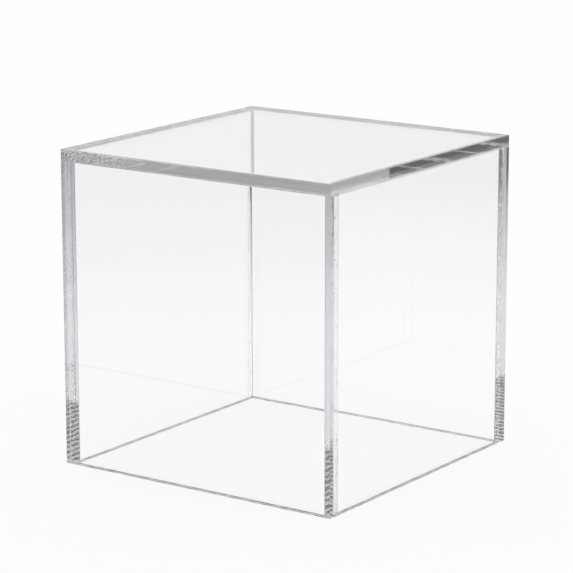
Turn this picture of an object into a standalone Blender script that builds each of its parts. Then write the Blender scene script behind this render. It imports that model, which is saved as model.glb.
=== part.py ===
"""Clear acrylic display cube, open underneath.

Five panels are cut from one thickness of clear sheet. The top lies over the
four walls. The front and back walls run the full width, and the left and right
walls stand between them. Every joint is a butt joint with a thin film of clear
cement in it: four films under the top and one down each upright corner.

Units are metres and +Z is up. The origin is on the table, under the middle of
the cube. The front faces -Y.
"""

import bmesh
import bpy

# Driving dimensions.
WIDTH = 0.127  # across the front, along X
DEPTH = 0.127  # front to back, along Y
HEIGHT = 0.127  # from the table to the outside of the top
SHEET_THICKNESS = 0.0045  # the sheet that all five panels are cut from
EDGE_EASING = 0.0003  # the small bevel that takes the sharpness off a panel's edges
EASING_SEGMENTS = 2
CEMENT_THICKNESS = 0.00015  # the film of cement in a joint
CEMENT_CLEARANCE = 0.0001  # from the film to the panel on each side of it

# Finishes, as colour, roughness and refractive index.
CLEAR_ACRYLIC = ((0.96, 0.97, 0.98), 0.03, 1.49)
CLEAR_CEMENT = ((0.86, 0.88, 0.91), 0.20, 1.47)

# Derived sizes.
JOINT_GAP = CEMENT_THICKNESS + 2 * CEMENT_CLEARANCE
FILM_WIDTH = SHEET_THICKNESS - 2 * EDGE_EASING  # the flat of a panel's edge
WALL_HEIGHT = HEIGHT - SHEET_THICKNESS - JOINT_GAP
SIDE_LENGTH = DEPTH - 2 * (SHEET_THICKNESS + JOINT_GAP)  # between front and back walls

# Derived places, measured from the origin to the middle of the thickness.
TOP_MIDDLE = HEIGHT - SHEET_THICKNESS / 2
WALL_MIDDLE = WALL_HEIGHT / 2
FRONT_MIDDLE = (DEPTH - SHEET_THICKNESS) / 2
SIDE_MIDDLE = (WIDTH - SHEET_THICKNESS) / 2
TOP_FILM_MIDDLE = HEIGHT - SHEET_THICKNESS - JOINT_GAP / 2
CORNER_FILM_MIDDLE = (DEPTH - JOINT_GAP) / 2 - SHEET_THICKNESS


def clear_scene():
    """Remove every object that is already in the scene."""
    for old in list(bpy.data.objects):
        bpy.data.objects.remove(old, do_unlink=True)


def add_assembly_empty():
    """Add the empty that the whole cube hangs from."""
    empty = bpy.data.objects.new("display_cube", None)
    empty.empty_display_size = WIDTH / 2
    bpy.context.scene.collection.objects.link(empty)
    return empty


def clear_plastic(name, finish):
    """Return a see-through material of its own for one piece."""
    colour, roughness, refraction = finish
    material = bpy.data.materials.new(name + "_material")
    material.use_nodes = True
    shader = material.node_tree.nodes["Principled BSDF"]
    shader.inputs["Base Color"].default_value = (*colour, 1.0)
    shader.inputs["Metallic"].default_value = 0.0
    shader.inputs["Roughness"].default_value = roughness
    shader.inputs["IOR"].default_value = refraction
    shader.inputs["Transmission Weight"].default_value = 1.0
    return material


def add_block(name, size, middle, parent, finish):
    """Add one rectangular piece of the given size, with its centre at middle."""
    mesh = bpy.data.meshes.new(name)
    shape = bmesh.new()
    bmesh.ops.create_cube(shape, size=1.0)
    bmesh.ops.scale(shape, vec=size, verts=shape.verts)
    shape.to_mesh(mesh)
    shape.free()
    mesh.materials.append(clear_plastic(name, finish))
    piece = bpy.data.objects.new(name, mesh)
    piece.location = middle
    piece.parent = parent
    bpy.context.scene.collection.objects.link(piece)
    return piece


def ease_edges(piece):
    """Bevel the sharp edges of a cut panel by the easing."""
    bevel = piece.modifiers.new("eased_edges", "BEVEL")
    bevel.width = EDGE_EASING
    bevel.segments = EASING_SEGMENTS
    bevel.limit_method = "NONE"


def add_panels(parent):
    """Add the top and the four walls."""
    front_size = (WIDTH, SHEET_THICKNESS, WALL_HEIGHT)
    side_size = (SHEET_THICKNESS, SIDE_LENGTH, WALL_HEIGHT)
    panels = {
        "top_panel": ((WIDTH, DEPTH, SHEET_THICKNESS), (0, 0, TOP_MIDDLE)),
        "front_panel": (front_size, (0, -FRONT_MIDDLE, WALL_MIDDLE)),
        "back_panel": (front_size, (0, FRONT_MIDDLE, WALL_MIDDLE)),
        "left_panel": (side_size, (-SIDE_MIDDLE, 0, WALL_MIDDLE)),
        "right_panel": (side_size, (SIDE_MIDDLE, 0, WALL_MIDDLE)),
    }
    for name, (size, middle) in panels.items():
        ease_edges(add_block(name, size, middle, parent, CLEAR_ACRYLIC))


def add_top_films(parent):
    """Add the cement between the top and the upper edge of each wall."""
    front_size = (WIDTH - 2 * EDGE_EASING, FILM_WIDTH, CEMENT_THICKNESS)
    side_size = (FILM_WIDTH, SIDE_LENGTH - 2 * EDGE_EASING, CEMENT_THICKNESS)
    films = {
        "top_cement_front": (front_size, (0, -FRONT_MIDDLE, TOP_FILM_MIDDLE)),
        "top_cement_back": (front_size, (0, FRONT_MIDDLE, TOP_FILM_MIDDLE)),
        "top_cement_left": (side_size, (-SIDE_MIDDLE, 0, TOP_FILM_MIDDLE)),
        "top_cement_right": (side_size, (SIDE_MIDDLE, 0, TOP_FILM_MIDDLE)),
    }
    for name, (size, middle) in films.items():
        add_block(name, size, middle, parent, CLEAR_CEMENT)


def add_corner_films(parent):
    """Add the cement between the side walls' ends and the front and back walls."""
    size = (FILM_WIDTH, CEMENT_THICKNESS, WALL_HEIGHT - 2 * EDGE_EASING)
    for depth_name, depth_sign in (("front", -1), ("back", 1)):
        for side_name, side_sign in (("left", -1), ("right", 1)):
            name = f"corner_cement_{depth_name}_{side_name}"
            middle = (side_sign * SIDE_MIDDLE, depth_sign * CORNER_FILM_MIDDLE, WALL_MIDDLE)
            add_block(name, size, middle, parent, CLEAR_CEMENT)


def main():
    clear_scene()
    cube = add_assembly_empty()
    add_panels(cube)
    add_top_films(cube)
    add_corner_films(cube)


main()
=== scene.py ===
"""Looks of the clear acrylic display cube, laid out as a Blender add-on.

Five sheets of clear acrylic and the eight cement joints between them take the
place of the plain solids of the frame. Every sheet is one closed surface with
eased edges. Its faces carry marks that say which are cut, sawn, bonded or eased
and how wide the dry strip of their joint is, and one material reads those marks.
"""

import math

import bpy
import numpy as np
from bpy.props import (
    FloatProperty,
    FloatVectorProperty,
    IntProperty,
    PointerProperty,
)
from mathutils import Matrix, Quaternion, Vector


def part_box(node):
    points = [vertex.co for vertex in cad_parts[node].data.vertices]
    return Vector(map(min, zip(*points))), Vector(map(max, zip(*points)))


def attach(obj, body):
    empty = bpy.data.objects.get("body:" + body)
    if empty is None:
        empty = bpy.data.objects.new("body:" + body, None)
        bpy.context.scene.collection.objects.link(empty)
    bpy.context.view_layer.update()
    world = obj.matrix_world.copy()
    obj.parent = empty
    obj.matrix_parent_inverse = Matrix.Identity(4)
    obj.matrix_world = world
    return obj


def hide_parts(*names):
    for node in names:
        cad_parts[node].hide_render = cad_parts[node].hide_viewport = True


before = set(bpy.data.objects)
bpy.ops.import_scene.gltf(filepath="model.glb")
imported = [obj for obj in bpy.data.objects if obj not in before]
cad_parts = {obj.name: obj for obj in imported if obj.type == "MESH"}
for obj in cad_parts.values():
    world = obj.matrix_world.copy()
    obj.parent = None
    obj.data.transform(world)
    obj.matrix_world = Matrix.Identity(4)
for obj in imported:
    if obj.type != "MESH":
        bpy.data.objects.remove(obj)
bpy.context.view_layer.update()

bl_info = {
    "name": "Acrylic display cube",
    "version": (1, 0, 0),
    "blender": (4, 5, 0),
    "location": "3D View > Sidebar > Display Cube",
    "description": "Builds the five clear sheets, the cement joints and the stage of a display cube",
    "category": "Object",
}

BODY = "root"
SHEET_MATERIAL = "clear_acrylic_sheet"
CEMENT_MATERIAL = "cured_clear_cement"

# The frame gives the sizes of the cube, in metres.
TOP_LOW, TOP_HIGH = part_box("top_panel")
WALL_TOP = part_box("front_panel")[1].z
HEIGHT = TOP_HIGH.z
SHEET_THICKNESS = TOP_HIGH.z - TOP_LOW.z
JOINT_GAP = TOP_LOW.z - WALL_TOP
HALF_WIDTH = (TOP_HIGH.x - TOP_LOW.x) / 2
INNER_HALF = HALF_WIDTH - SHEET_THICKNESS  # from the middle to a wall's inner face

X_AXIS, Y_AXIS, Z_AXIS = 0, 1, 2
NO_CUTS = ((), (), ())
FLAT_FACING = 0.999  # least part of a flat face's normal that lies along its axis
BEAD_FACING = 0.5  # least part of the normal of a bead's face that points inwards
WELD_GRID = 1e8  # steps per metre of the grid on which points that agree are one
FILM_EASING_STEPS = 2

# Finish of the cut edges and the sawn ones.
WALL_END_STREAKS = 0.3  # streaks on the polished wall ends, where the top's edges have 1
EASED_ROUGHNESS = 0.12
SAW_LEAN = 1.4  # how far a saw mark slants, per metre across the edge
TEETH_SHARE = 0.2  # share of the fine marks in the saw's bite, where the broad ones have the rest
SAW_CLARITY = 0.15  # share of the light that passes into a sawn edge
CONTACT_CLARITY = 0.42  # share that goes straight through where a sawn edge touches the floor
SCUFF_COVER = 0.9  # share of the light that a scuff stops
SCUFFED_TO, CLEAN_FROM = 0.0075, 0.0475  # distances in metres from the front left corner
# Two distances in metres from the middle of a sawn edge, and what they add to its shade, which sets
# how much light goes straight through there and paints light in the middle, where the edge rests on
# the floor, and shade at its sides.
CONTACT_PAINTED_LIGHT_FALL = (0.0003, 0.0019, 0.15, -0.15)

# Heights of the relief on the edges, in steps of so many metres.
RELIEF_STEP = 0.000002
STREAK_HEIGHT = 1.5
WAVE_HEIGHT = 6.0
SAW_HEIGHT = 30.0

# The cement in the joints, with lengths in metres.
BOND_CLARITY = 0.96  # share of the light that a wetted joint passes without bending it
MENISCUS = 0.0002  # half the width of the curved edge of the cement, along its dry strip
WIDEST_SWING = 0.0006  # the most that the edge of a dry strip wanders to each side
CORNER_SWING, TOP_SWING = 0.1, 0.9  # shares of that in the upright joints and under the top
STARVED_FROM, STARVED_FULLY = 0.042, 0.022  # depths below the top, in the back half
POROUS_TO, SOUND_FROM = 0.0075, 0.0235  # distances from the left side, in the front half
EXTRA_PORES = 0.05  # added to the noise that makes the pores
CEMENT_REFRACTION = 1.49
BUBBLE_COVER = 0.55
# Little light passes the bead, so that its painted shade shows.
BEAD_CLARITY = 0.1

# Colours that no setting holds.
WHITE = (1.0, 1.0, 1.0)
SCUFF_DARK = (0.08, 0.08, 0.09)
MENISCUS_GREY = (0.65, 0.66, 0.68)
# Painted shade: the dark line along the clear cement bead.
BEAD_PAINTED_SHADE = (0.03, 0.03, 0.035)
FLOOR_PALE = (0.85, 0.85, 0.85)

# Grain of the finishes, in turns per metre along a side and across it.
SAW_STROKES = (300.0, 400.0, 1.0)
SAW_TEETH = (1500.0, 200.0, 1.0)
CUT_LINES = (30.0, 1400.0, 1.0)
CUT_STREAKS = (60.0, 5200.0, 1.0)
CUT_WAVES = (110.0, 260.0, 1.0)
SCRATCHES = (1300.0, 2600.0, 1.0)
SCUFF_SPECKS = (900.0, 1900.0, 1.0)

# Grain that is the same every way, in turns per metre.
FACE_SMEARS = (22.0,) * 3
STRIP_WANDER = (60.0,) * 3
JOINT_PORES = (700.0,) * 3
BUBBLE_CROWDS = (45.0,) * 3
CEMENT_HAZE = (160.0,) * 3
BUBBLES = 520.0

# The stage. Each fall gives two distances in metres from the cube and the tones there, which paint a
# pool of light and shade on the floor as reflections see it.
FLOOR_LEVEL = -0.0001  # just under the rims of the walls
PAINTED_SHADE_WAY = (-0.573, -0.819, 0.0)  # level direction towards the painted dark end of the floor
PAINTED_POOL_FALL = (0.15, 0.75, 1.0, 0.50)  # painted pool of light, all round
PAINTED_DIM_FALL = (0.05, 0.50, 1.0, 0.50)  # painted dimming, along that direction
PAINTED_DARK_FALL = (0.38, 0.50, 1.0, 0.02)  # painted dark end, along that direction, past the dim part
CEILING_TONE = 1.05
WALL_TONE = 0.90
CAMERA_SIDE_TONE = 0.32
SENSOR_WIDTH = 36.0  # millimetres
AIM_LEFT, AIM_ABOVE = 0.00070, 0.00481  # metres from the cube's middle, as the camera sees it
LIGHT_BOUNCES = 48  # enough for light that is led along inside a sheet
CLEAR_LAYERS = 64  # layers that light may pass straight through


# ---------------------------------------------------------------- settings


class SheetSettings(bpy.types.PropertyGroup):
    """Sizes and finish of the clear sheet."""

    top_easing: FloatProperty(
        name="Top edge easing",
        description="Radius of the eased edges of the top sheet",
        default=0.0002,
        min=0.00005,
        max=0.001,
        precision=5,
        unit="LENGTH",
    )
    wall_easing: FloatProperty(
        name="Wall edge easing",
        description="Radius of the eased edges of the four walls",
        default=0.00008,
        min=0.00005,
        max=0.001,
        precision=5,
        unit="LENGTH",
    )
    easing_steps: IntProperty(
        name="Easing steps",
        description="Strips across half of an eased edge",
        default=3,
        min=1,
        max=8,
    )
    refraction: FloatProperty(
        name="Refractive index",
        description="Refractive index of the clear sheet",
        default=1.459,
        min=1.0,
        max=2.0,
    )
    tint: FloatVectorProperty(
        name="Tint",
        description="Colour that the sheet takes through its thickness, darker for a stronger tint",
        default=(0.70, 0.71, 0.75),
        subtype="COLOR",
        min=0.0,
        max=1.0,
    )
    tint_density: FloatProperty(
        name="Tint density",
        description="How strongly the tint builds up, per metre of clear plastic",
        default=5.6,
        min=0.0,
        max=100.0,
    )
    sawn_light: FloatVectorProperty(
        name="Sawn edge, light",
        description="Lightest colour of the sawn lower edges",
        default=(1.0, 1.0, 0.98),
        subtype="COLOR",
        min=0.0,
        max=1.0,
    )
    # Painted shade: the darkest sawn colour stands in for light that is lost inside the edge.
    sawn_painted_shade: FloatVectorProperty(
        name="Sawn edge, dark",
        description="Darkest colour of the sawn lower edges",
        default=(0.08, 0.08, 0.08),
        subtype="COLOR",
        min=0.0,
        max=1.0,
    )


class CementSettings(bpy.types.PropertyGroup):
    """Sizes and finish of the cement joints."""

    clearance: FloatProperty(
        name="Film clearance",
        description="Gap that the drawn film keeps to the sheet on each side of it",
        default=0.00001,
        min=0.000005,
        max=0.0001,
        precision=6,
        unit="LENGTH",
    )
    recess: FloatProperty(
        name="Film recess",
        description="How far the cement stops short of the sheet's face",
        default=0.00003,
        min=0.0,
        max=0.001,
        precision=5,
        unit="LENGTH",
    )
    corner_dry: FloatVectorProperty(
        name="Dry strips of the corners",
        description="Dry width along the inner side: front left, front right, back left, back right",
        default=(0.0015, 0.0002, 0.0014, 0.0001),
        size=4,
        precision=5,
        unit="LENGTH",
    )
    top_dry: FloatVectorProperty(
        name="Dry strips under the top",
        description="Dry width along the inner side: front, right, back, left",
        default=(0.0040, 0.0006, 0.0001, 0.0001),
        size=4,
        precision=5,
        unit="LENGTH",
    )
    colour: FloatVectorProperty(
        name="Cement colour",
        description="Colour of the cured cement",
        default=(0.90, 0.91, 0.93),
        subtype="COLOR",
        min=0.0,
        max=1.0,
    )


class StageSettings(bpy.types.PropertyGroup):
    """Floor, light and camera."""

    floor_reach: FloatProperty(
        name="Floor reach",
        description="Distance from the middle of the floor to its sides",
        default=4.0,
        min=0.5,
        max=10.0,
        unit="LENGTH",
    )
    floor_shade: FloatProperty(
        name="Shadow share",
        description="Share of the floor's tone that the light makes, and that a shadow can take away",
        default=0.12,
        min=0.0,
        max=1.0,
    )
    camera_azimuth: FloatProperty(
        name="Camera azimuth",
        description="Angle of the camera round the cube, from the front towards the right",
        default=math.radians(35.088),
        subtype="ANGLE",
    )
    camera_elevation: FloatProperty(
        name="Camera elevation",
        description="Angle of the camera above the horizon",
        default=math.radians(13.064),
        subtype="ANGLE",
    )
    camera_roll: FloatProperty(
        name="Camera roll",
        description="Turn of the camera about its own line of sight",
        default=math.radians(-0.070),
        subtype="ANGLE",
    )
    camera_distance: FloatProperty(
        name="Camera distance",
        description="Distance from the camera to the middle of the cube",
        default=1.0676,
        min=0.3,
        unit="LENGTH",
    )
    camera_lens: FloatProperty(
        name="Focal length",
        description="Focal length on a 36 mm sensor, in millimetres",
        default=167.9,
        min=10.0,
        subtype="NONE",
    )


# ---------------------------------------------------------------- surfaces


def grid_lines(half, easing, steps, cuts):
    """Places of the grid lines on one axis, from -half to half.

    Inside the easing the lines stand at easing * tan(angle) for equal steps of
    the angle, so that the eased edge is divided evenly. Cuts are extra lines
    where the finish of a face changes.
    """
    spread = easing * np.tan(np.linspace(0, np.pi / 4, steps + 1))[1:]
    flat = half - easing
    inside = [cut for cut in cuts if abs(cut) < flat]
    places = np.concatenate([-flat - spread, [-flat], inside, [flat], flat + spread])
    return np.unique(places.round(9))


def eased_side(half, easing, lines, axis, sign):
    """One side of an eased block, as points, normals and distances along the side.

    The side is a function of two parameters, the distances b and c along its
    other two axes. A point q of the square block is drawn to the nearest point
    k of the inner block, which is smaller by the easing all round, and the
    surface is k + easing * (q - k) / |q - k|. The fraction is the normal.
    """
    along, across = (axis + 1) % 3, (axis + 2) % 3
    b, c = np.meshgrid(lines[along], lines[across], indexing="ij")
    square = np.zeros(b.shape + (3,))
    square[..., axis] = sign * half[axis]
    square[..., along] = b
    square[..., across] = c
    inner = np.clip(square, easing - half, half - easing)
    normal = square - inner
    normal /= np.linalg.norm(normal, axis=-1, keepdims=True)
    long_first = half[along] >= half[across]
    flat = np.stack([b, c] if long_first else [c, b], axis=-1)
    return inner + easing * normal, normal, flat


def eased_block(name, low, high, easing, steps, cuts, marks):
    """A closed block with eased edges, made of six sides welded together.

    cuts holds the extra grid lines of each axis. marks is a function of the
    middles and normals of the faces, and gives each mark's name with a number
    for each face. The UV map holds metres along the longer and the shorter
    direction of each side, from its middle.
    """
    middle = (low + high) / 2
    half = (high - low) / 2
    lines = [grid_lines(half[axis], easing, steps, cuts[axis]) for axis in range(3)]
    points, normals, flats, quads = [], [], [], []
    used = 0
    for axis in (X_AXIS, Y_AXIS, Z_AXIS):
        for sign in (-1, 1):
            point, normal, flat = eased_side(half, easing, lines, axis, sign)
            rows, columns = point.shape[:2]
            index = used + np.arange(rows * columns).reshape(rows, columns)
            corners = [index[:-1, :-1], index[1:, :-1], index[1:, 1:], index[:-1, 1:]]
            quad = np.stack(corners, axis=-1).reshape(-1, 4)[:, ::sign]
            points.append(point.reshape(-1, 3))
            normals.append(normal.reshape(-1, 3))
            flats.append(flat.reshape(-1, 2))
            quads.append(quad)
            used += rows * columns
    points, normals = np.concatenate(points), np.concatenate(normals)
    flats, quads = np.concatenate(flats), np.concatenate(quads)

    # Sides meet in the same points, so points that agree on the grid are one.
    keys = np.round(points * WELD_GRID).astype(np.int64)
    first, owner = np.unique(keys, axis=0, return_index=True, return_inverse=True)[1:]
    faces = owner.ravel()[quads]
    places = points[first] + middle
    return fill_mesh(name, places, normals[first], faces, flats[quads], marks)


def fill_mesh(name, places, normals, faces, flats, marks):
    """A piece made of quads, with smooth normals, a UV map and marks on its faces."""
    mesh = bpy.data.meshes.new(name)
    mesh.from_pydata(places.tolist(), [], faces.tolist())
    mesh.polygons.foreach_set("use_smooth", np.ones(len(faces), dtype=bool))
    uv_map = mesh.uv_layers.new(name="flat_metres")
    uv_map.data.foreach_set("uv", flats.reshape(-1).astype(np.float32))
    corners = places[faces]
    middles = corners.mean(axis=1)
    facing = np.cross(corners[:, 2] - corners[:, 0], corners[:, 3] - corners[:, 1])
    facing /= np.linalg.norm(facing, axis=1, keepdims=True)
    for mark, values in marks(middles, facing).items():
        layer = mesh.attributes.new(mark, "FLOAT", "FACE")
        layer.data.foreach_set("value", values.astype(np.float32))
    mesh.update()
    mesh.normals_split_custom_set_from_vertices(normals.tolist())
    piece = bpy.data.objects.new(name, mesh)
    bpy.context.scene.collection.objects.link(piece)
    return piece


def looks_along(facing, axis, sign):
    """True for the flat faces that look along one axis, towards the sign."""
    return sign * facing[:, axis] > FLAT_FACING


def square_to(facing, axis):
    """True for the flat faces that look along one axis, either way."""
    return np.abs(facing[:, axis]) > FLAT_FACING


def dry_strips(middles, facing):
    """Width of the dry strip at each face of a joint.

    A face that looks up or down belongs to a joint under the top, and takes its
    width from the side that it lies on. Any other belongs to an upright corner.
    """
    settings = bpy.context.scene.display_cube_cement
    front, right, back, left = settings.top_dry
    on_right, on_back = middles[:, X_AXIS] > 0, middles[:, Y_AXIS] > 0
    corner = np.array(settings.corner_dry)[2 * on_back + on_right]
    lapping = np.abs(middles[:, Y_AXIS]) > INNER_HALF
    along_lap = np.where(on_back, back, front)
    along_side = np.where(on_right, right, left)
    under_top = np.where(lapping, along_lap, along_side)
    return np.where(square_to(facing, Z_AXIS), under_top, corner)


def finish_marks(cut, sawn, bonded, middles, facing):
    """The marks of a sheet. Faces that look along no axis belong to an eased edge."""
    eased = np.abs(facing).max(axis=1) < FLAT_FACING
    dry = dry_strips(middles, facing)
    marks = {"cut": cut, "sawn": sawn, "bonded": bonded, "eased": eased, "dry_width": dry}
    return {name: np.asarray(value, dtype=float) for name, value in marks.items()}


def top_marks(middles, facing):
    """The top is cut on its four edges, and bonded on the ring that lies on the walls."""
    reach = np.abs(middles[:, :2]).max(axis=1)
    bonded = looks_along(facing, Z_AXIS, -1) & (reach > INNER_HALF)
    cut = square_to(facing, X_AXIS) | square_to(facing, Y_AXIS)
    return finish_marks(cut, np.zeros(len(cut)), bonded, middles, facing)


def lapping_wall_marks(outward):
    """The front or back wall, whose outer face looks along Y with the sign outward.

    It is bonded along its upper edge and on the strips that lap over the side walls.
    """

    def marks(middles, facing):
        on_side_wall = looks_along(facing, Y_AXIS, -outward)
        on_side_wall &= np.abs(middles[:, X_AXIS]) > INNER_HALF
        bonded = looks_along(facing, Z_AXIS, 1) | on_side_wall
        cut = WALL_END_STREAKS * square_to(facing, X_AXIS)
        return finish_marks(cut, looks_along(facing, Z_AXIS, -1), bonded, middles, facing)

    return marks


def side_wall_marks(middles, facing):
    """A side wall is bonded along its upper edge and down both ends."""
    bonded = looks_along(facing, Z_AXIS, 1) | square_to(facing, Y_AXIS)
    nothing = np.zeros(len(facing))
    return finish_marks(nothing, looks_along(facing, Z_AXIS, -1), bonded, middles, facing)


def film_marks(thin_axis):
    """A cement film, marked where it lies against a sheet and where it has a bead.

    The bead runs down the inner edge of the two back corner joints, where the clear cement is painted
    dark as shade.
    """

    def marks(middles, facing):
        inwards = -np.sign(middles[:, X_AXIS]) * facing[:, X_AXIS] > BEAD_FACING
        painted_shade_bead = inwards & (middles[:, Y_AXIS] > 0) & (thin_axis == Y_AXIS)
        against = square_to(facing, thin_axis)
        return {"against_sheet": against.astype(float), "painted_shade_bead": painted_shade_bead.astype(float)}

    return marks


# ---------------------------------------------------------------- materials


class Tree:
    """Short calls for building a node tree."""

    MIX_SOCKETS = {"FLOAT": (2, 0), "RGBA": (6, 2)}  # first input and output of each kind

    def __init__(self, tree):
        self.tree = tree
        self.tree.nodes.clear()

    def add(self, kind, **values):
        """Add a node. Each value is an input by name, as a number or another socket."""
        node = self.tree.nodes.new(kind)
        for name, value in values.items():
            self.set(node, name.replace("_", " "), value)
        return node

    def set(self, node, which, value):
        """Set one input by name or number, or link it when the value is a socket."""
        socket = node.inputs[which]
        if isinstance(value, bpy.types.NodeSocket):
            self.tree.links.new(value, socket)
        elif socket.type == "RGBA" and len(value) == 3:
            socket.default_value = (*value, 1.0)
        else:
            socket.default_value = value

    def fill(self, node, *values):
        """Set the inputs of a node in their order, and give its first output."""
        for index, value in enumerate(values):
            self.set(node, index, value)
        return node.outputs[0]

    def math(self, operation, *values):
        """A Math node on numbers or sockets, and its result."""
        node = self.tree.nodes.new("ShaderNodeMath")
        node.operation = operation
        return self.fill(node, *values)

    def product(self, first, *others):
        """All the values multiplied."""
        for other in others:
            first = self.math("MULTIPLY", first, other)
        return first

    def measure(self, operation, *vectors):
        """A Vector Math node whose result is a number."""
        node = self.tree.nodes.new("ShaderNodeVectorMath")
        node.operation = operation
        self.fill(node, *vectors)
        return node.outputs["Value"]

    def ramp(self, value, low, high, start=0.0, end=1.0):
        """value carried from low..high to start..end, clamped and smoothed."""
        node = self.tree.nodes.new("ShaderNodeMapRange")
        node.interpolation_type = "SMOOTHSTEP"
        limits = {"Value": value, "From Min": low, "From Max": high}
        for name, number in {**limits, "To Min": start, "To Max": end}.items():
            self.set(node, name, number)
        return node.outputs[0]

    def blend(self, share, first, second, kind="FLOAT"):
        """first where share is 0 and second where it is 1."""
        node = self.tree.nodes.new("ShaderNodeMix")
        node.data_type = kind
        start, result = self.MIX_SOCKETS[kind]
        self.set(node, 0, share)
        self.set(node, start, first)
        self.set(node, start + 1, second)
        return node.outputs[result]

    def blend_colour(self, share, first, second):
        """The first colour where share is 0 and the second where it is 1."""
        return self.blend(share, first, second, kind="RGBA")

    def noise(self, source, stretch, detail=2.0, roughness=0.5):
        """Noise on coordinates that are stretched first, as turns per metre."""
        mapping = self.add("ShaderNodeMapping", Vector=source, Scale=stretch)
        settings = {"Scale": 1.0, "Detail": detail, "Roughness": roughness}
        node = self.add("ShaderNodeTexNoise", Vector=mapping.outputs[0], **settings)
        return node.outputs[0]

    def mark(self, name):
        """The value of a mark on the faces."""
        node = self.tree.nodes.new("ShaderNodeAttribute")
        node.attribute_name = name
        return node.outputs["Fac"]


def new_material(name):
    """An empty material with its tree and its output node."""
    material = bpy.data.materials.new(name)
    material.use_nodes = True
    tree = Tree(material.node_tree)
    return material, tree, tree.add("ShaderNodeOutputMaterial")


def shared_material(name, make, settings):
    """A material that is made once and used by every piece of its kind."""
    return bpy.data.materials.get(name) or make(name, settings)


class SheetFaces:
    """What the sheet's material reads on a face: places, distances and marks."""

    def __init__(self, tree):
        coordinates = tree.add("ShaderNodeTexCoord").outputs
        self.solid = coordinates["Object"]
        self.flat = coordinates["UV"]
        self.place = tree.add("ShaderNodeSeparateXYZ", Vector=self.solid).outputs
        self.along, self.across = tree.add("ShaderNodeSeparateXYZ", Vector=self.flat).outputs[:2]
        self.cut, self.sawn = tree.mark("cut"), tree.mark("sawn")
        self.bonded, self.eased = tree.mark("bonded"), tree.mark("eased")


def saw_marks(tree, faces):
    """Slanting marks of the saw, as the depth of its bite and a shade from dark to light.

    Broad strokes stand a few millimetres apart, with finer marks among them. The
    middle of the edge, where it rests on the floor, is lighter with painted light,
    and its sides are darker with painted shade.
    """
    slant = tree.math("ADD", faces.along, tree.product(faces.across, SAW_LEAN))
    slanted = tree.add("ShaderNodeCombineXYZ", X=slant, Y=faces.across).outputs[0]
    strokes = tree.noise(slanted, SAW_STROKES, detail=1.0)
    teeth = tree.noise(slanted, SAW_TEETH, detail=3.0, roughness=0.6)
    bite = tree.blend(TEETH_SHARE, strokes, teeth)
    # Painted light in the middle of the edge and painted shade at its sides, which also set how much
    # light goes straight through there.
    contact_and_painted_light = tree.ramp(tree.math("ABSOLUTE", faces.across), *CONTACT_PAINTED_LIGHT_FALL)
    shade = tree.ramp(tree.math("ADD", bite, contact_and_painted_light), 0.45, 0.56)
    return bite, shade


def uneven_dry_width(tree, faces):
    """Width of the dry strip at each place of a joint.

    It wanders about the width that the mark gives. In the back half it grows to
    twice that width towards the top, where the cement ran short.
    """
    high_up = tree.ramp(faces.place["Z"], HEIGHT - STARVED_FROM, HEIGHT - STARVED_FULLY)
    starved = tree.product(high_up, tree.math("GREATER_THAN", faces.place["Y"], 0.0))
    mean = tree.product(tree.mark("dry_width"), tree.math("ADD", 1.0, starved))
    top_joint = HEIGHT - SHEET_THICKNESS - 2 * JOINT_GAP
    under_top = tree.math("GREATER_THAN", faces.place["Z"], top_joint)
    swing_share = tree.blend(under_top, CORNER_SWING, TOP_SWING)
    swing = tree.product(tree.math("MINIMUM", mean, WIDEST_SWING), swing_share)
    wander = tree.noise(faces.solid, STRIP_WANDER, detail=3.0)
    wobble = tree.product(tree.ramp(wander, 0.30, 0.70, -1.0, 1.0), swing)
    return tree.math("ADD", mean, wobble)


def joint_voids(tree, faces):
    """Where a joint holds no cement, and the curved edge of the cement.

    The cement was run in from outside, so it wets the outer part of a joint,
    with small voids, and leaves a dry strip along the inner side. In the front
    half there are more voids towards the left.
    """
    far_x = tree.math("ABSOLUTE", faces.place["X"])
    far_y = tree.math("ABSOLUTE", faces.place["Y"])
    depth_in = tree.math("SUBTRACT", tree.math("MAXIMUM", far_x, far_y), INNER_HALF)
    dry_width = uneven_dry_width(tree, faces)
    dry = tree.math("LESS_THAN", depth_in, dry_width)
    past_dry = tree.math("ABSOLUTE", tree.math("SUBTRACT", depth_in, dry_width))
    rim = tree.ramp(past_dry, MENISCUS / 2, MENISCUS, 1.0, 0.0)
    porous_to, sound_from = POROUS_TO - HALF_WIDTH, SOUND_FROM - HALF_WIDTH
    porous = tree.ramp(faces.place["X"], porous_to, sound_from, EXTRA_PORES, 0.0)
    porous = tree.product(porous, tree.math("LESS_THAN", faces.place["Y"], 0.0))
    pores = tree.noise(faces.solid, JOINT_PORES, roughness=0.55)
    pore = tree.ramp(tree.math("ADD", pores, porous), 0.66, 0.70)
    void = tree.math("MAXIMUM", tree.math("MAXIMUM", pore, dry), rim)
    return void, rim


def clamp_scuffs(tree, faces):
    """Scuffs on the cut edges, thickest at the front left corner, where the sheet was clamped."""
    past_corner = tree.math("MAXIMUM", faces.place["X"], faces.place["Y"])
    scuffed_to, clean_from = SCUFFED_TO - HALF_WIDTH, CLEAN_FROM - HALF_WIDTH
    clamped = tree.ramp(past_corner, scuffed_to, clean_from, 1.0, 0.0)
    scratches = tree.ramp(tree.noise(faces.flat, SCRATCHES), 0.44, 0.56)
    return tree.product(scratches, clamped, faces.cut)


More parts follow.
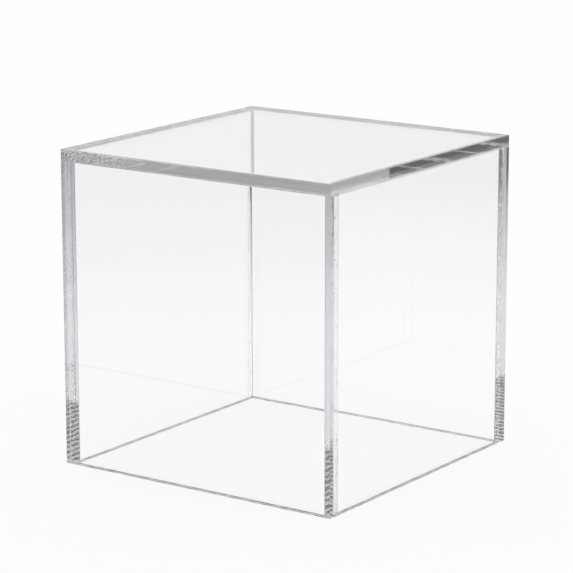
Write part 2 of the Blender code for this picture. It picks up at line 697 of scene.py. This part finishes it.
def sheet_colour(tree, faces, settings, shade, rim, scuffs):
    """White but for grey lines on cut edges, saw marks with painted light and painted shade, the
    cement's curved edge and scuffs.
    """
    line_tone = tree.ramp(tree.noise(faces.flat, CUT_LINES), 0.38, 0.62, 0.82, 1.0)
    cut_colour = tree.blend_colour(faces.cut, WHITE, line_tone)
    # Painted light and painted shade: the sawn colour runs from dark to light with the saw marks and
    # the lighter middle of the edge.
    saw_marks_and_painted_shade = tree.blend_colour(shade, settings.sawn_painted_shade, settings.sawn_light)
    colour = tree.blend_colour(faces.sawn, cut_colour, saw_marks_and_painted_shade)
    colour = tree.blend_colour(tree.product(faces.bonded, rim), colour, MENISCUS_GREY)
    scuff_tone = tree.ramp(tree.noise(faces.flat, SCUFF_SPECKS), 0.42, 0.52)
    scuff_colour = tree.blend_colour(scuff_tone, SCUFF_DARK, WHITE)
    return tree.blend_colour(scuffs, colour, scuff_colour)


def sheet_roughness(tree, faces, bite, streaks):
    """Faint smears on the faces, streaks on the cut edges, satin eased edges, matt sawn ones."""
    smears = tree.noise(faces.solid, FACE_SMEARS, detail=5.0, roughness=0.6)
    face_roughness = tree.ramp(smears, 0.55, 0.85, 0.0, 0.02)
    cut_roughness = tree.ramp(streaks, 0.35, 0.70, 0.01, 0.05)
    sawn_roughness = tree.ramp(bite, 0.3, 0.7, 0.65, 0.45)
    roughness = tree.blend(faces.cut, face_roughness, cut_roughness)
    roughness = tree.blend(faces.eased, roughness, EASED_ROUGHNESS)
    return tree.blend(faces.sawn, roughness, sawn_roughness)


def sheet_relief(tree, faces, bite, streaks):
    """Normals bent by streaks and slow waves on cut edges, and by saw marks on sawn ones."""
    ripple = tree.noise(faces.flat, CUT_WAVES, detail=1.0)
    polish = tree.product(streaks, faces.cut, STREAK_HEIGHT)
    waves = tree.product(ripple, faces.cut, WAVE_HEIGHT)
    sawing = tree.product(bite, faces.sawn, SAW_HEIGHT)
    relief = tree.math("ADD", tree.math("ADD", polish, waves), sawing)
    bump = tree.add("ShaderNodeBump", Height=relief, Strength=1.0, Distance=RELIEF_STEP)
    return bump.outputs[0]


def clear_sheet_material(name, settings):
    """Clear acrylic sheet, one material for every kind of face.

    The cast faces are smooth with faint smears. Cut edges are polished and
    keep streaks along their length. Sawn edges are matt, with saw marks
    across them and painted shade and painted light in their colour. Bonded faces
    pass light straight on, but for small voids.
    """
    material, tree, output = new_material(name)
    faces = SheetFaces(tree)
    bite, shade = saw_marks(tree, faces)
    streaks = tree.noise(faces.flat, CUT_STREAKS)
    void, rim = joint_voids(tree, faces)
    scuffs = clamp_scuffs(tree, faces)

    wetted = tree.product(faces.bonded, tree.math("SUBTRACT", BOND_CLARITY, void))
    touching = tree.product(faces.sawn, shade, CONTACT_CLARITY)
    through = tree.math("MAXIMUM", tree.math("MAXIMUM", wetted, 0.0), touching)
    unscuffed = tree.math("SUBTRACT", 1.0, tree.product(scuffs, SCUFF_COVER))
    clarity = tree.product(unscuffed, tree.blend(faces.sawn, 1.0, SAW_CLARITY))

    shader = tree.add(
        "ShaderNodeBsdfPrincipled",
        Base_Color=sheet_colour(tree, faces, settings, shade, rim, scuffs),
        Roughness=sheet_roughness(tree, faces, bite, streaks),
        IOR=settings.refraction,
        Alpha=tree.math("SUBTRACT", 1.0, through),
        Normal=sheet_relief(tree, faces, bite, streaks),
        Transmission_Weight=clarity,
    )
    depth = tree.add(
        "ShaderNodeVolumeAbsorption",
        Color=tuple(settings.tint),
        Density=settings.tint_density,
    )
    tree.set(output, "Surface", shader.outputs[0])
    tree.set(output, "Volume", depth.outputs[0])
    return material


def cement_material(name, settings):
    """Cured clear cement, nearly lost against the sheets, with fine bubbles and a bead painted dark
    as shade.
    """
    material, tree, output = new_material(name)
    solid = tree.add("ShaderNodeTexCoord").outputs["Object"]
    painted_shade_bead = tree.mark("painted_shade_bead")
    cells = tree.add("ShaderNodeTexVoronoi", Vector=solid, Scale=BUBBLES)
    bubble_size = tree.ramp(tree.noise(solid, BUBBLE_CROWDS), 0.50, 0.75, 0.05, 0.26)
    bubble = tree.math("LESS_THAN", cells.outputs["Distance"], bubble_size)
    haze = tree.noise(solid, CEMENT_HAZE, detail=4.0)
    milky = tree.ramp(haze, 0.40, 0.75, 0.03, 0.14)
    seen = tree.math("MAXIMUM", tree.product(bubble, BUBBLE_COVER), milky)
    shader = tree.add(
        "ShaderNodeBsdfPrincipled",
        # Painted shade on the bead.
        Base_Color=tree.blend_colour(painted_shade_bead, tuple(settings.colour), BEAD_PAINTED_SHADE),
        Roughness=tree.ramp(haze, 0.3, 0.7, 0.10, 0.30),
        IOR=CEMENT_REFRACTION,
        Alpha=tree.blend(tree.mark("against_sheet"), 1.0, seen),
        Transmission_Weight=tree.blend(painted_shade_bead, 1.0, BEAD_CLARITY),
    )
    tree.set(output, "Surface", shader.outputs[0])
    return material


def floor_material(share):
    """White floor.

    The camera sees it as white, straight or through clear plastic. A share of
    that white comes from the light, so that it keeps the shadow, and the rest
    is its own glow. Seen by reflection, the glow is a painted pool of light round
    the cube, with painted shade that grows darker away from it.
    For all other light the floor is a plain pale one.
    """
    material, tree, output = new_material("white_floor")
    ray = tree.add("ShaderNodeLightPath").outputs
    place = tree.add("ShaderNodeTexCoord").outputs["Object"]
    ahead = tree.measure("DOT_PRODUCT", place, PAINTED_SHADE_WAY)
    painted_pool = tree.ramp(tree.measure("LENGTH", place), *PAINTED_POOL_FALL)
    # Painted pool of light and painted shade, which only reflections see.
    tone = tree.product(painted_pool, tree.ramp(ahead, *PAINTED_DIM_FALL), tree.ramp(ahead, *PAINTED_DARK_FALL))
    reflected = tree.math("GREATER_THAN", ray["Glossy Depth"], 0.5)
    glow_level = tree.product(tree.blend(reflected, 1.0, tone), 1.0 - share)
    glow = tree.add("ShaderNodeEmission", Strength=glow_level).outputs[0]
    lit = tree.add("ShaderNodeBsdfDiffuse", Color=(share, share, share)).outputs[0]
    shown = tree.fill(tree.add("ShaderNodeAddShader"), lit, glow)
    plain = tree.add("ShaderNodeBsdfDiffuse", Color=FLOOR_PALE).outputs[0]
    seen = tree.math("MAXIMUM", ray["Is Camera Ray"], ray["Is Glossy Ray"])
    seen = tree.math("MAXIMUM", seen, ray["Is Transmission Ray"])
    mixed = tree.fill(tree.add("ShaderNodeMixShader"), seen, plain, shown)
    tree.set(output, "Surface", mixed)
    return material


# ---------------------------------------------------------------- pieces


def add_sheet(context, node, name, easing, cuts, marks):
    """Put an eased clear sheet in the place of one solid of the frame."""
    settings = context.scene.display_cube_sheet
    low, high = (np.array(corner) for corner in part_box(node))
    piece = eased_block(name, low, high, easing, settings.easing_steps, cuts, marks)
    piece.data.materials.append(shared_material(SHEET_MATERIAL, clear_sheet_material, settings))
    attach(piece, BODY)
    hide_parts(node)


def spare_width(node, axis):
    """How far the sheet's edge stands past the solid of a film, on each side of it."""
    low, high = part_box(node)
    return (SHEET_THICKNESS - (high[axis] - low[axis])) / 2


def add_film(context, node, name, thin_axis, reach):
    """Put a cement film in the place of one solid of the frame.

    The film fills its joint but for a hair on each side. reach is how much
    longer it is than the solid at each end of each axis, so that it ends nearly
    at the faces of the sheets, where the thin line of the joint shows.
    """
    settings = context.scene.display_cube_cement
    low, high = (np.array(corner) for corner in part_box(node))
    middle = (low + high) / 2
    half = (high - low) / 2 + reach
    half[thin_axis] = JOINT_GAP / 2 - settings.clearance
    low, high = middle - half, middle + half
    easing = half[thin_axis] / 2
    marks = film_marks(thin_axis)
    piece = eased_block(name, low, high, easing, FILM_EASING_STEPS, NO_CUTS, marks)
    piece.data.materials.append(shared_material(CEMENT_MATERIAL, cement_material, settings))
    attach(piece, BODY)
    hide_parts(node)


class AddTopSheet(bpy.types.Operator):
    """Add the top sheet, which lies over all four walls"""

    bl_idname = "display_cube.add_top_sheet"
    bl_label = "Add Top Sheet"

    def execute(self, context):
        ring = (-INNER_HALF, INNER_HALF)
        easing = context.scene.display_cube_sheet.top_easing
        add_sheet(context, "top_panel", "top_sheet", easing, (ring, ring, ()), top_marks)
        return {"FINISHED"}


class AddWallSheets(bpy.types.Operator):
    """Add the four walls, the front and back ones lapping over the side ones"""

    bl_idname = "display_cube.add_wall_sheets"
    bl_label = "Add Wall Sheets"

    def execute(self, context):
        strips = ((-INNER_HALF, INNER_HALF), (), ())
        easing = context.scene.display_cube_sheet.wall_easing
        for side, outward in (("front", -1), ("back", 1)):
            marks = lapping_wall_marks(outward)
            add_sheet(context, f"{side}_panel", f"{side}_sheet", easing, strips, marks)
        for side in ("left", "right"):
            add_sheet(context, f"{side}_panel", f"{side}_sheet", easing, NO_CUTS, side_wall_marks)
        return {"FINISHED"}


class AddTopCement(bpy.types.Operator):
    """Add the four cement films under the top"""

    bl_idname = "display_cube.add_top_cement"
    bl_label = "Add Top Cement"

    def execute(self, context):
        recess = context.scene.display_cube_cement.recess
        for side in ("front", "back", "left", "right"):
            node = f"top_cement_{side}"
            lapping = side in ("front", "back")
            past = spare_width(node, Y_AXIS if lapping else X_AXIS) - recess
            reach = np.array([past, past if lapping else 0.0, 0.0])
            add_film(context, node, f"top_joint_{side}", Z_AXIS, reach)
        return {"FINISHED"}


class AddCornerCement(bpy.types.Operator):
    """Add the four cement films down the upright corners"""

    bl_idname = "display_cube.add_corner_cement"
    bl_label = "Add Corner Cement"

    def execute(self, context):
        recess = context.scene.display_cube_cement.recess
        for end in ("front", "back"):
            for side in ("left", "right"):
                node = f"corner_cement_{end}_{side}"
                reach = np.array([spare_width(node, X_AXIS) - recess, 0.0, 0.0])
                add_film(context, node, f"corner_joint_{end}_{side}", Y_AXIS, reach)
        return {"FINISHED"}


class AddStage(bpy.types.Operator):
    """Add the white floor, the soft light and the camera"""

    bl_idname = "display_cube.add_stage"
    bl_label = "Add Stage"

    def execute(self, context):
        settings = context.scene.display_cube_stage
        add_floor(context, settings)
        add_light(context)
        add_camera(context, settings)
        return {"FINISHED"}


def add_floor(context, settings):
    """A flat square just under the cube."""
    reach = settings.floor_reach
    corners = [(-reach, -reach), (reach, -reach), (reach, reach), (-reach, reach)]
    mesh = bpy.data.meshes.new("floor")
    mesh.from_pydata([(x, y, FLOOR_LEVEL) for x, y in corners], [], [(0, 1, 2, 3)])
    mesh.materials.append(floor_material(settings.floor_shade))
    floor = bpy.data.objects.new("floor", mesh)
    context.scene.collection.objects.link(floor)


def add_light(context):
    """Soft studio light from all round, darker behind the camera.

    The camera sees plain white. Every other ray meets a room that is bright
    overhead and at the horizon, with walls that are pale behind the cube and
    dark on the camera's side.
    """
    world = bpy.data.worlds.new("soft_studio")
    context.scene.world = world
    world.use_nodes = True
    tree = Tree(world.node_tree)
    output = tree.add("ShaderNodeOutputWorld")
    direction = tree.add("ShaderNodeTexCoord").outputs["Generated"]
    parts = tree.add("ShaderNodeSeparateXYZ", Vector=direction).outputs
    camera_side = tree.ramp(tree.product(parts["Y"], -1.0), 0.05, 0.60)
    above_horizon = tree.ramp(parts["Z"], 0.10, 0.18)
    below_ceiling = tree.ramp(parts["Z"], 0.45, 0.80, 1.0, 0.0)
    wall = tree.blend(camera_side, WALL_TONE, CAMERA_SIDE_TONE)
    tone = tree.blend(tree.product(above_horizon, below_ceiling), CEILING_TONE, wall)
    room = tree.add("ShaderNodeBackground", Strength=tone, Color=WHITE).outputs[0]
    plain = tree.add("ShaderNodeBackground", Strength=1.0, Color=WHITE).outputs[0]
    from_camera = tree.add("ShaderNodeLightPath").outputs["Is Camera Ray"]
    mixed = tree.fill(tree.add("ShaderNodeMixShader"), from_camera, room, plain)
    tree.set(output, "Surface", mixed)


def add_camera(context, settings):
    """The camera, aimed a little above and beside the middle of the cube."""
    azimuth, elevation = settings.camera_azimuth, settings.camera_elevation
    level = math.cos(elevation)
    back = Vector((math.sin(azimuth) * level, -math.cos(azimuth) * level, math.sin(elevation)))
    right = Vector((0.0, 0.0, 1.0)).cross(back).normalized()
    up = back.cross(right)
    data = bpy.data.cameras.new("camera")
    data.sensor_width = SENSOR_WIDTH
    data.lens = settings.camera_lens
    camera = bpy.data.objects.new("camera", data)
    aim = Vector((0.0, 0.0, HEIGHT / 2)) - right * AIM_LEFT + up * AIM_ABOVE
    camera.location = aim + back * settings.camera_distance
    camera.rotation_mode = "QUATERNION"
    roll = Quaternion((0.0, 0.0, 1.0), settings.camera_roll)
    camera.rotation_quaternion = back.to_track_quat("Z", "Y") @ roll
    context.scene.collection.objects.link(camera)
    context.scene.camera = camera


# ---------------------------------------------------------------- add-on


OPERATORS = (AddTopSheet, AddWallSheets, AddTopCement, AddCornerCement, AddStage)
SETTINGS = {
    "display_cube_sheet": SheetSettings,
    "display_cube_cement": CementSettings,
    "display_cube_stage": StageSettings,
}


class DisplayCubePanel(bpy.types.Panel):
    """Settings and steps of the display cube"""

    bl_idname = "DISPLAY_CUBE_PT_sidebar"
    bl_label = "Acrylic Display Cube"
    bl_space_type = "VIEW_3D"
    bl_region_type = "UI"
    bl_category = "Display Cube"

    def draw(self, context):
        for name, group in SETTINGS.items():
            box = self.layout.box()
            box.label(text=group.__doc__)
            for setting in group.__annotations__:
                box.prop(getattr(context.scene, name), setting)
        for operator in OPERATORS:
            self.layout.operator(operator.bl_idname)


CLASSES = (*SETTINGS.values(), *OPERATORS, DisplayCubePanel)


def register():
    for each in CLASSES:
        bpy.utils.register_class(each)
    for name, group in SETTINGS.items():
        setattr(bpy.types.Scene, name, PointerProperty(type=group))


def unregister():
    for name in SETTINGS:
        delattr(bpy.types.Scene, name)
    for each in reversed(CLASSES):
        bpy.utils.unregister_class(each)


def main():
    register()
    bpy.ops.display_cube.add_top_sheet()
    bpy.ops.display_cube.add_wall_sheets()
    bpy.ops.display_cube.add_top_cement()
    bpy.ops.display_cube.add_corner_cement()
    bpy.ops.display_cube.add_stage()
    scene = bpy.context.scene
    scene.view_settings.view_transform = "Standard"
    scene.cycles.max_bounces = LIGHT_BOUNCES
    scene.cycles.transmission_bounces = LIGHT_BOUNCES
    scene.cycles.glossy_bounces = LIGHT_BOUNCES
    scene.cycles.transparent_max_bounces = CLEAR_LAYERS


if __name__ == "__main__":
    main()
